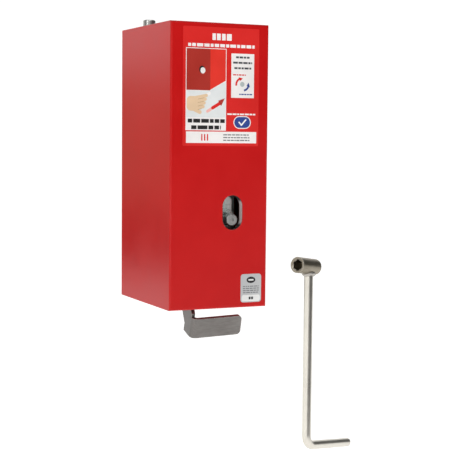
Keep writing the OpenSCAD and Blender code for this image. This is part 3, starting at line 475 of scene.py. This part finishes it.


# %% [markdown]
# The cover is powder coated: a thick, slightly rippled red skin that looks semi-gloss. Its edges and sharp
# bends carry a painted highlight, a pale pink band broken up by noise. Plates, fittings and the crank are
# zinc plated, which is a pale, slightly cool metal with clouds. Winch parts keep the finish that each is made
# with: turned, cast, sintered, oiled or phosphated.

# %% The finishes
ZINC_BARE = ((0.78, 0.77, 0.74, 1), 0.22, 1.0)
STEEL_BARE = ((0.70, 0.69, 0.67, 1), 0.20, 1.0)
# pale pink given to the red paint's edges and bends: a painted highlight
PAINT_EDGE_HIGHLIGHT = ((0.85, 0.30, 0.27, 1), 0.28, 0.0)
FINISH = {
    # the red paint's pale edge band is a painted highlight along its bends
    "red_paint": finish_material(
        "red_paint", ((0.490, 0.0025, 0.0030, 1), (0.515, 0.0040, 0.0040, 1)), (0.29, 0.33), grain=760.0,
        bump=0.07, depth=0.00004, edge=0.0012, wear_and_highlight=0.75, breakup=24.0, worn_and_highlight=PAINT_EDGE_HIGHLIGHT, dust=0.03,
        coat=0.02, coat_rough=0.22, specular=0.23),
    "zinc_plate": finish_material(
        "zinc_plate", ((0.36, 0.41, 0.38, 1), (0.50, 0.56, 0.52, 1)), (0.26, 0.40), 1.0, 1200.0, 0.05,
        stretch=(1, 1, 0.05), wear_and_highlight=0.5, worn_and_highlight=ZINC_BARE, dust=0.12),
    "crank_steel": finish_material(
        "crank_steel", ((0.62, 0.595, 0.535, 1), (0.72, 0.695, 0.63, 1)), (0.27, 0.33), 1.0, 1100.0, 0.035,
        edge=0.0007, stretch=(1, 1, 0.08)),
    "socket_steel": finish_material(
        "socket_steel", ((0.225, 0.195, 0.150, 1), (0.345, 0.310, 0.250, 1)), (0.32, 0.42), 1.0, 1100.0, 0.06,
        edge=0.0008, stretch=(0.10, 0.30, 1), wear_and_highlight=0.6, worn_and_highlight=ZINC_BARE),
    # the lining's pale pink is a painted highlight with the red cover's reflection in it
    "lining_zinc_painted_sheen": finish_material(
        "lining_zinc_painted_sheen", ((0.74, 0.62, 0.615, 1), (0.84, 0.73, 0.72, 1)), (0.45, 0.60), 0.35, 900.0, 0.08,
        edge=0.0002),
    "ferrule_zinc": finish_material(
        "ferrule_zinc", ((0.52, 0.52, 0.50, 1), (0.68, 0.68, 0.65, 1)), (0.24, 0.38), 1.0, 1100.0, 0.12,
        stretch=(0.06, 0.06, 1), wear_and_highlight=0.5, worn_and_highlight=ZINC_BARE, dust=0.15),
    "turned_steel": finish_material(
        "turned_steel", ((0.34, 0.34, 0.335, 1), (0.46, 0.46, 0.45, 1)), (0.22, 0.34), 1.0, 1400.0, 0.06,
        stretch=(0.05, 1, 0.05), wear_and_highlight=0.5, worn_and_highlight=STEEL_BARE),
    "screw_zinc": finish_material(
        "screw_zinc", ((0.50, 0.51, 0.50, 1), (0.64, 0.64, 0.62, 1)), (0.25, 0.40), 1.0, 1600.0, 0.10,
        edge=0.00025, wear_and_highlight=0.6, worn_and_highlight=ZINC_BARE, dust=0.1),
    "gear_steel": finish_material(
        "gear_steel", ((0.22, 0.22, 0.23, 1), (0.36, 0.35, 0.34, 1)), (0.24, 0.46), 1.0, 1000.0, 0.14,
        edge=0.0003, wear_and_highlight=0.7, worn_and_highlight=STEEL_BARE, coat=0.25, coat_rough=0.2),
    "cast_aluminium": finish_material(
        "cast_aluminium", ((0.34, 0.40, 0.38, 1), (0.72, 0.76, 0.75, 1)), (0.20, 0.40), 1.0, 700.0, 0.30,
        depth=0.00012, pits=(420.0, 0.25), wear_and_highlight=0.4, worn_and_highlight=((0.80, 0.80, 0.80, 1), 0.25, 1.0)),
    "cast_iron": finish_material(
        "cast_iron", ((0.13, 0.13, 0.13, 1), (0.24, 0.23, 0.22, 1)), (0.34, 0.58), 0.9, 900.0, 0.25,
        stretch=(0.05, 1, 0.05), pits=(500.0, 0.2), wear_and_highlight=0.5, worn_and_highlight=STEEL_BARE),
    "bronze": finish_material(
        "bronze", ((0.42, 0.25, 0.10, 1), (0.58, 0.38, 0.17, 1)), (0.30, 0.48), 1.0, 1300.0, 0.18,
        pits=(900.0, 0.5), edge=0.0003, coat=0.2),
    "spring_steel": finish_material(
        "spring_steel", ((0.10, 0.10, 0.11, 1), (0.20, 0.20, 0.21, 1)), (0.32, 0.50), 0.9, 1800.0, 0.12,
        edge=0.0),
    "clip_steel": finish_material(
        "clip_steel", ((0.09, 0.09, 0.10, 1), (0.16, 0.16, 0.17, 1)), (0.30, 0.46), 0.9, 1800.0, 0.10,
        edge=0.0002, wear_and_highlight=0.6, worn_and_highlight=STEEL_BARE),
    "lever_steel": finish_material(
        "lever_steel", ((0.135, 0.125, 0.118, 1), (0.215, 0.205, 0.195, 1)), (0.30, 0.40), 0.9, 800.0, 0.07,
        edge=0.0008, depth=0.00005, stretch=(0.06, 1, 1), wear_and_highlight=0.6,
        worn_and_highlight=((0.80, 0.78, 0.74, 1), 0.24, 1.0), dust=0.1),
    "friction": finish_material(
        "friction", ((0.11, 0.065, 0.035, 1), (0.20, 0.13, 0.08, 1)), (0.70, 0.92), 0.0, 500.0, 0.6,
        depth=0.0002, pits=(600.0, 0.6), edge=0.0003),
    "weld": finish_material(
        "weld", ((0.30, 0.28, 0.26, 1), (0.52, 0.50, 0.47, 1)), (0.28, 0.46), 1.0, 1300.0, 0.25, edge=0.0),
    "print": finish_material(
        "print", None, (0.30, 0.42), 0.0, 1500.0, 0.06, depth=0.00002, edge=0.0,
        coat=0.25, coat_rough=0.18, ink="ink"),
    "silver_print": finish_material(
        "silver_print", None, (0.28, 0.42), 0.55, 1500.0, 0.05, depth=0.00002,
        stretch=(0.05, 1, 1), edge=0.0, ink="ink"),
}
FLOOR_GLOW = 0.70
floor_finish = finish_material("floor_white", ((0.80, 0.80, 0.79, 1), (0.84, 0.84, 0.83, 1)), (0.75, 0.9),
                               grain=40.0, bump=0.02, edge=0.0, specular=0.1)
floor_shader = floor_finish.node_tree.nodes["Principled BSDF"]
floor_shader.inputs["Emission Color"].default_value = (1, 1, 1, 1)
floor_shader.inputs["Emission Strength"].default_value = FLOOR_GLOW
backdrop.data.materials.append(floor_finish)
print("finishes", len(FINISH))

# %% [markdown]
# Each measured piece now gets its finish. The list says what it is made of, so nothing keeps the plain grey
# that it was loaded with.

# %% Which piece has which finish
WEARS = {
    "red_paint": ["cover"],
    "zinc_plate": ["back_plate", "front_plate", "lever_bracket", "plunger_guide"],
    "lining_zinc_painted_sheen": ["opening_collar"],
    "ferrule_zinc": ["cable_ferrule", "ferrule_nut"],
    "turned_steel": ["spacer_posts", "drum_axle", "axle_spacer", "drive_shaft", "pinion_pin", "lever_pin",
                     "brake_plunger", "link_pin", "brake_shoe", "cable_clamp", "lever_hub"],
    "screw_zinc": ["front_post_screws", "back_post_screws", "cover_screws", "axle_nut", "drum_screws",
                   "bearing_screws", "bracket_screws", "guide_screws"],
    "gear_steel": ["drum_gear", "pinion"],
    "cast_aluminium": ["cable_drum", "front_bearing"],
    "cast_iron": ["brake_rim"],
    "bronze": ["drum_bushes", "rear_shaft_bush"],
    "spring_steel": ["brake_spring"],
    "clip_steel": ["shaft_clips", "lever_pin_clip", "spring_collar"],
    "lever_steel": ["lever"],
    "friction": ["brake_lining"],
    "crank_steel": ["crank_rod"],
    "socket_steel": ["crank_socket"],
    "weld": ["crank_weld"],
    "print": ["instruction_label"],
    "silver_print": ["inspection_label"],
}
for finish_name, node_names in WEARS.items():
    for node_name in node_names:
        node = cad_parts[node_name]
        node.data.materials.clear()
        node.data.materials.append(FINISH[finish_name])
listed = {n for names in WEARS.values() for n in names}
print("without a finish", sorted(set(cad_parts) - listed))

# %% [markdown]
# The crank opening is lined with a strip folded into a ring. Its straight walls carry a painted highlight and
# its folds carry painted shade, near black. One more mix, driven by the way the wall faces, tells them apart
# without another piece.

# %% Painted shade in the lining's folds
def paint_shade_in_folds(material, painted_shade):
    """Mixes the base colour towards painted shade where a wall turns away from the side: the share is 1 minus
    the size of the normal's sideways part, stretched from 0.80 to 0.98. The near black is painted shade in
    the lining's folds, and its pale straight walls are a painted highlight."""
    tree = material.node_tree
    shader = tree.nodes["Principled BSDF"]
    split = tree.nodes.new("ShaderNodeSeparateXYZ")
    tree.links.new(tree.nodes.new("ShaderNodeNewGeometry").outputs["Normal"], split.inputs[0])
    straight = ramp(tree, math_node(tree, "ABSOLUTE", split.outputs["X"]), 0.80, 0.98)
    bright = shader.inputs["Base Color"].links[0].from_socket
    tree.links.new(mix_colour(tree, straight, painted_shade, bright), shader.inputs["Base Color"])


# near black on the lining's folds: painted shade
paint_shade_in_folds(FINISH["lining_zinc_painted_sheen"], (0.025, 0.02, 0.02, 1))
print("lining's base colour comes from", FINISH["lining_zinc_painted_sheen"].node_tree.nodes["Principled BSDF"]
      .inputs["Base Color"].links[0].from_node.name)

# %% [markdown]
# The labels are printed films. Pictures printed on a flat film are flat shapes in a few inks, so each shape
# is drawn as an outline and given a hair's thickness, 0.02 to 0.05 mm more for each ink that lies on another.
# One mesh holds a whole label, and a colour attribute on its faces says which ink each shape is.
# Wording is shown as plain bars, because only its place and weight matter, and the drawings are new ones.

# %% Flat shapes and their outlines
def rectangle(x0, x1, z0, z1):
    """Corners of an upright rectangle, in millimetres."""
    return np.array([[x0, z0], [x1, z0], [x1, z1], [x0, z1]], float)


def rounded(x0, x1, z0, z1, radius, steps=8):
    """A rectangle whose corners are quarter circles of that radius."""
    turn = np.linspace(0, math.pi / 2, steps)
    left, right_side, low_end, high_end = x0 + radius, x1 - radius, z0 + radius, z1 - radius
    middles = [(right_side, high_end), (left, high_end), (left, low_end), (right_side, low_end)]
    parts = []
    for k, (cx, cz) in enumerate(middles):
        angle = turn + k * math.pi / 2
        parts.append(np.stack([cx + radius * np.cos(angle), cz + radius * np.sin(angle)], 1))
    return np.vstack(parts)


def ellipse(cx, cz, rx, rz, steps=40):
    """Points at equal angles: centre plus (rx cos t, rz sin t)."""
    turn = np.linspace(0, 2 * math.pi, steps, endpoint=False)
    return np.stack([cx + rx * np.cos(turn), cz + rz * np.sin(turn)], 1)


def bar(start, end, width, steps=8):
    """A straight stroke with round ends: a half circle round each end."""
    start, end = np.array(start, float), np.array(end, float)
    heading = math.atan2(*(end - start)[::-1])
    turn = np.linspace(-math.pi / 2, math.pi / 2, steps)
    tip = np.stack([np.cos(turn + heading), np.sin(turn + heading)], 1) * width / 2
    return np.vstack([end + tip, start - tip])


def arc_arrow(cx, cz, radius, width, start, stop, head=2.2, steps=22):
    """A curved arrow: an arc of that radius and width from start to stop, in degrees, that ends in a
    triangle head times as wide as the arc."""
    turn = np.radians(np.linspace(start, stop, steps))
    spoke = np.stack([np.cos(turn), np.sin(turn)], 1)
    centre = np.array([cx, cz])
    tip_turn = math.radians(stop + math.copysign(math.degrees(head * width / radius), stop - start))
    last = spoke[-1]
    tip = centre + radius * np.array([math.cos(tip_turn), math.sin(tip_turn)])
    return np.vstack([centre + spoke * (radius + width / 2), centre + last * (radius + head * width / 2), tip,
                      centre + last * (radius - head * width / 2),
                      (centre + spoke * (radius - width / 2))[::-1]])


def words(x0, x1, z0, z1, seed, longest=6.0, gap=0.9):
    """A line of wording as plain bars of uneven length, from x0 to x1."""
    draw = np.random.default_rng(seed)
    lengths = draw.uniform(0.35, 1.0, 60) * longest
    starts = x0 + np.concatenate([[0], np.cumsum(lengths + gap)[:-1]])
    return [rectangle(a, min(a + n, x1), z0, z1) for a, n in zip(starts, lengths) if a < x1 - 0.6]


# %% A label from its shapes
def ink_label(name, shapes, origin, back_y):
    """One closed mesh of prisms. shapes: (outline in mm, ink, back, front) with back and front in mm before
    back_y. Outlines run anticlockwise seen from the front, so that the front cap faces -Y.
    origin: the (x, z) in metres that the outlines are measured from."""
    points, faces, inks, count = [], [], [], 0
    for outline, ink, back, front in shapes:
        x, z = outline[:, 0], outline[:, 1]
        if np.sum(x * np.roll(z, -1) - z * np.roll(x, -1)) < 0:
            outline = outline[::-1]
        n = len(outline)
        flat = outline * MM + np.array(origin)
        rings = [np.stack([flat[:, 0], np.full(n, back_y - d * MM), flat[:, 1]], 1) for d in (front, back)]
        points += rings
        order = np.arange(n)
        near, far = count + order, count + n + order
        walls = np.stack([near, far, np.roll(far, -1), np.roll(near, -1)], 1).tolist()
        faces += [near.tolist(), far[::-1].tolist()] + walls
        inks += [ink] * (2 * n + 4 * n)
        count += 2 * n
    made = make_mesh(name, np.vstack(points), faces)
    layer = made.data.color_attributes.new(name="ink", type="FLOAT_COLOR", domain="CORNER")
    layer.data.foreach_set("color", np.array(inks, float).ravel())
    print(name, len(shapes), "shapes", len(faces), "faces")
    return made


# %% [markdown]
# The instruction label fills the upper half of the front. A red film carries a white heading, a picture panel
# of a hand pulling the lever, a panel that shows both ways round, a round-ended blue badge and a white strip.

# %% Instruction label
RED, WHITE, BLACK = linear(212, 20, 14), linear(238, 234, 232), linear(22, 20, 20)
DARK_RED, BRIGHT_RED, PALE_RED = linear(168, 38, 26), linear(222, 42, 26), linear(240, 178, 168)
PALE, SKIN = linear(222, 225, 225), linear(226, 196, 160)
BLUE, GREY = linear(34, 62, 138), linear(120, 122, 124)
SHADE, DARK, PALE_GREY = linear(176, 140, 108), linear(66, 68, 72), linear(176, 184, 184)
FILM, FIRST, SECOND, THIRD = 0.20, 0.25, 0.30, 0.35     # heights of the inks' faces before the cover, in mm
INK_STEP = 0.05         # thickness of one ink, in mm


def ink_adder(drawn):
    """A function that adds one printed shape to drawn, on the film or on the ink one step below its top."""
    def ink(outline, colour, top=FIRST):
        drawn.append((outline, colour, FILM if top == FIRST else top - INK_STEP, top))
    return ink


def label_shapes(width, height):
    """Every shape of the instruction label, in mm from its lower left corner."""
    drawn = [(rounded(0, width, 0, height, 1.5), RED, 0.0, FILM)]
    ink = ink_adder(drawn)
    for a, b in ((36.7, 41.0), (42.4, 47.2), (48.8, 53.4), (55.0, 61.2)):
        ink(rectangle(a, b, 122.6, 130.2), WHITE)
    for outline in words(6.3, 91.0, 114.6, 118.2, 3, 9.0, 1.4):
        ink(outline, WHITE)
    # picture panel: the box's side and front, the hole in it, a hand on the lever and an arrow
    ink(rectangle(3.6, 54.8, 18.0, 113.0), WHITE)
    ink(rectangle(4.4, 34.28, 64.4, 112.2), DARK_RED, SECOND)
    ink(np.array([[34.3, 65.0], [54.0, 76.0], [54.0, 112.2], [34.3, 112.2]]), BRIGHT_RED, SECOND)
    ink(np.array([[4.4, 33.0], [54.0, 33.0], [54.0, 75.2], [34.3, 64.2], [4.4, 63.6]]), PALE, SECOND)
    ink(ellipse(23.9, 88.2, 3.6, 4.4), BLACK, THIRD)
    ink(ellipse(24.9, 87.2, 3.1, 3.6), WHITE, THIRD + 0.03)
    ink(bar((23.0, 55.0), (33.5, 61.0), 3.4), WHITE, THIRD)
    ink(rounded(4.8, 20.5, 40.5, 57.5, 5.0), SKIN, THIRD)
    for k in range(4):
        finger = bar((16.0, 55.6 - 4.0 * k), (29.5 - 1.3 * k, 58.4 - 4.3 * k), 3.9)
        ink(finger, SKIN, THIRD + 0.005 + 0.008 * k)
        ink(bar((19.0, 54.0 - 4.0 * k), (27.0 - 1.2 * k, 55.8 - 4.3 * k), 0.45), SHADE, THIRD + 0.045)
    ink(bar((10.0, 44.0), (21.5, 39.0), 4.4), SKIN, THIRD + 0.04)
    ink(bar((31.0, 40.2), (39.0, 45.0), 3.4), PALE_RED, THIRD)
    ink(bar((37.5, 44.2), (47.5, 50.2), 3.8), RED, THIRD + 0.01)
    ink(np.array([[53.0, 55.6], [44.6, 52.6], [48.4, 46.4]]), DARK_RED, THIRD + 0.02)
    for z, a, b, seed in ((26.9, 6.3, 53.2, 11), (19.3, 10.7, 48.3, 12)):
        for outline in words(a, b, z, z + 4.4, seed, 13.0, 1.3):
            ink(outline, BLACK, SECOND)
    # both ways round
    ink(rectangle(61.1, 90.6, 56.5, 108.0), WHITE)
    for k, (a, b) in enumerate(((67.0, 84.5), (63.4, 88.0), (65.0, 86.8))):
        for outline in words(a, b, 102.6 - 6.3 * k, 104.8 - 6.3 * k, 20 + k, 7.0, 0.9):
            ink(outline, DARK, SECOND)
    ink(arc_arrow(75.0, 72.0, 7.4, 2.2, 190, 118), RED, SECOND)
    ink(arc_arrow(76.4, 72.6, 7.4, 2.2, -80, -22), BLUE, SECOND)
    ink(ellipse(75.4, 72.4, 2.8, 2.9), PALE_GREY, SECOND)
    for outline in words(63.4, 80.0, 82.6, 84.0, 31, 4.5, 0.7):
        ink(outline, RED, SECOND)
    for outline in words(71.5, 89.6, 60.0, 61.4, 32, 4.5, 0.7):
        ink(outline, BLUE, SECOND)
    # wording, badge and strip
    for outline in words(56.5, 92.8, 36.4, 38.2, 41, 6.0, 0.9):
        ink(outline, WHITE)
    ink(rounded(64.6, 87.0, 20.4, 35.2, 7.3), WHITE)
    ink(rounded(65.6, 86.0, 21.4, 34.2, 6.3), BLUE, SECOND)
    ink(bar((71.8, 27.9), (74.8, 24.6), 1.7), WHITE, THIRD)
    ink(bar((74.8, 24.6), (80.4, 31.0), 1.7), WHITE, THIRD + 0.01)
    ink(rectangle(4.3, 94.3, 3.4, 16.7), WHITE)
    for k in range(3):
        ink(bar((24.2 + 3.6 * k, 6.8), (24.2 + 3.6 * k, 13.2), 1.6), RED, SECOND)
        for outline in words(51.5, 85.5, 12.4 - 3.2 * k, 13.8 - 3.2 * k, 50 + k, 5.5, 0.8):
            ink(outline, GREY, SECOND)
    return drawn


low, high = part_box("instruction_label")
print("label from", [round(v / MM, 1) for v in low], "to", [round(v / MM, 1) for v in high])
shapes = label_shapes((high.x - low.x) / MM, (high.z - low.z) / MM)
label = ink_label("instruction_print", shapes, (low.x, low.z), high.y)
label.data.materials.append(FINISH["print"])
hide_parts("instruction_label")
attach(label, "box")

# %% [markdown]
# A small silver inspection label sits at the lower right. Metallised film mirrors the room a little, so its
# ink is partly metallic and lightly brushed. Its mark is a plain dark oval.

# %% Inspection label
SILVER, LIGHT, INK = linear(196, 197, 198), linear(236, 236, 234), linear(48, 48, 50)


def tag_shapes(width, height):
    """Every shape of the inspection label, in mm from its lower left corner."""
    drawn = [(rounded(0, width, 0, height, 3.5), SILVER, 0.0, FILM)]
    ink = ink_adder(drawn)
    ink(ellipse(width / 2, height - 7.2, 5.8, 3.8), INK)
    ink(bar((width / 2 - 2.6, height - 7.2), (width / 2 + 2.6, height - 7.2), 1.8), LIGHT, SECOND)
    for k in range(4):
        foot, head = height - 15.4 - 2.5 * k, height - 14.3 - 2.5 * k
        for outline in words(3.0, width - 3.0, foot, head, 60 + k, 5.0, 0.8):
            ink(outline, GREY)
    ink(rounded(1.4, width - 1.4, 1.2, 8.8, 2.4), LIGHT)
    for x0, x1 in ((10.8, 13.2), (14.0, 16.4)):
        ink(rectangle(x0, x1, 3.4, 6.6), INK, SECOND)
    return drawn


low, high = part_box("inspection_label")
shapes = tag_shapes((high.x - low.x) / MM, (high.z - low.z) / MM)
tag = ink_label("inspection_print", shapes, (low.x, low.z), high.y)
tag.data.materials.append(FINISH["silver_print"])
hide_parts("inspection_label")
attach(tag, "box")

# %% [markdown]
# The brake's return spring is round wire on a helix. The measured model has it with eight flat sides, which
# is enough for size and mass. Here a circle is carried along the helix on a grid, with round closed ends.
# Its lower end stands on the guide, so it stays with the box.

# %% Brake spring
low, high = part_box("brake_spring")
WIRE_R = 0.9 * MM
TURNS = 6
spring_mid = ((low.x + high.x) / 2, (low.y + high.y) / 2)
coil_r = (high.x - low.x) / 2 - WIRE_R
ALONG, AROUND = 420, 16         # points along the wire and around it


def helix_tube(turns, coil, wire, z0, z1, along=ALONG, around=AROUND):
    """Point (i, j): the helix (coil cos t, coil sin t, climbing evenly), plus wire times the sum of the
    outward spoke times cos a and the upright times sin a. The wire narrows to a point at both ends."""
    t = np.linspace(0, 2 * math.pi * turns, along)[:, None]
    a = np.linspace(0, 2 * math.pi, around, endpoint=False)[None, :]
    share = np.linspace(0, 1, along)[:, None]
    close = np.clip(np.minimum(share, 1 - share) / 0.004, 0.02, 1) ** 0.5
    r = coil + wire * close * np.cos(a)
    z = z0 + wire + (z1 - z0 - 2 * wire) * share + wire * close * np.sin(a)
    return np.stack([spring_mid[0] + r * np.cos(t), spring_mid[1] + r * np.sin(t), z], -1).reshape(-1, 3)


spring_faces = grid_faces(ALONG, AROUND, close_columns=True)
spring_faces = [face[::-1] for face in spring_faces]
spring_faces += [list(range(AROUND)), list(range(ALONG * AROUND - 1, (ALONG - 1) * AROUND - 1, -1))]
spring = make_mesh("spring_coil", helix_tube(TURNS, coil_r, WIRE_R, low.z, high.z), spring_faces, smooth=True)
spring.data.materials.append(FINISH["spring_steel"])
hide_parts("brake_spring")
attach(spring, "box")
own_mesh(spring)

# %% [markdown]
# The crank is a bent rod welded to a round socket. The weld bead follows the line where the two cylinders
# meet, and it is rippled, because the welder laid it in overlapping beads. The line is known in the crank's
# own frame: at angle t round the rod, the socket's surface lies at depth sqrt(R squared - (r sin t) squared).

# %% Weld bead
CRANK_AT = np.array([190.0, -35.0, -136.5]) * MM
ROD_R, SOCKET_R, BEAD_R = 6.0 * MM, 10.75 * MM, 2.7 * MM
BEAD_OUT, BEAD_DOWN = 0.6 * MM, 0.9 * MM        # how far the bead's middle stands off rod and socket
BEAD_ALONG, BEAD_AROUND = 240, 14


def turn_matrix(axis, degrees):
    """The 3 by 3 matrix of a turn about one axis."""
    return np.array(Matrix.Rotation(math.radians(degrees), 3, axis))


CRANK_TURN = turn_matrix("Z", -28) @ turn_matrix("X", -10) @ turn_matrix("Z", 55)


def bead_points(along=BEAD_ALONG, around=BEAD_AROUND, ripples=34):
    """Point (i, j): the meeting line of rod and socket at angle t, moved 0.6 mm out from the rod, plus a
    circle in the plane of the rod's spoke and the upright. Its radius swells and sinks with each ripple."""
    t = np.linspace(0, 2 * math.pi, along, endpoint=False)[:, None]
    a = np.linspace(0, 2 * math.pi, around, endpoint=False)[None, :]
    swell = BEAD_R * (0.86 + 0.10 * np.abs(np.sin(ripples * t / 2)) + 0.04 * np.sin(5 * t))
    depth = np.sqrt(SOCKET_R**2 - (ROD_R * np.sin(t)) ** 2)
    r = ROD_R + BEAD_OUT + swell * np.cos(a)
    upward = -depth - BEAD_DOWN + swell * np.sin(a)
    local = np.stack([r * np.cos(t), r * np.sin(t), upward], -1).reshape(-1, 3)
    return local @ CRANK_TURN.T + CRANK_AT


bead_faces = grid_faces(BEAD_ALONG, BEAD_AROUND, close_rows=True, close_columns=True)
bead = make_mesh("weld_bead", bead_points(), bead_faces, smooth=True)
bead.data.materials.append(FINISH["weld"])
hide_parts("crank_weld")
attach(bead, "crank")

# %% [markdown]
# New meshes must face outwards, or light and thickness go wrong. The signed volume tells: it is the sum of
# each triangle's corner a times (b cross c), over six, and it is positive when faces look out.

# %% Faces look out
def signed_volume(made):
    """Volume enclosed by the faces of a closed mesh, negative if it is inside out."""
    mesh = made.data
    mesh.calc_loop_triangles()
    corner = np.empty(len(mesh.vertices) * 3)
    mesh.vertices.foreach_get("co", corner)
    index = np.empty(len(mesh.loop_triangles) * 3, int)
    mesh.loop_triangles.foreach_get("vertices", index)
    a, b, c = corner.reshape(-1, 3)[index.reshape(-1, 3)].transpose(1, 0, 2)
    return float(np.sum(a * np.cross(b, c)) / 6)


for made in (label, tag, spring, bead):
    turned = signed_volume(made) < 0
    if turned:
        made.data.flip_normals()
    volume = signed_volume(made) / MM**3
    print(made.name, "turned" if turned else "as made", "volume in mm3", round(volume, 1),
          "triangles", len(made.data.loop_triangles))

# %% [markdown]
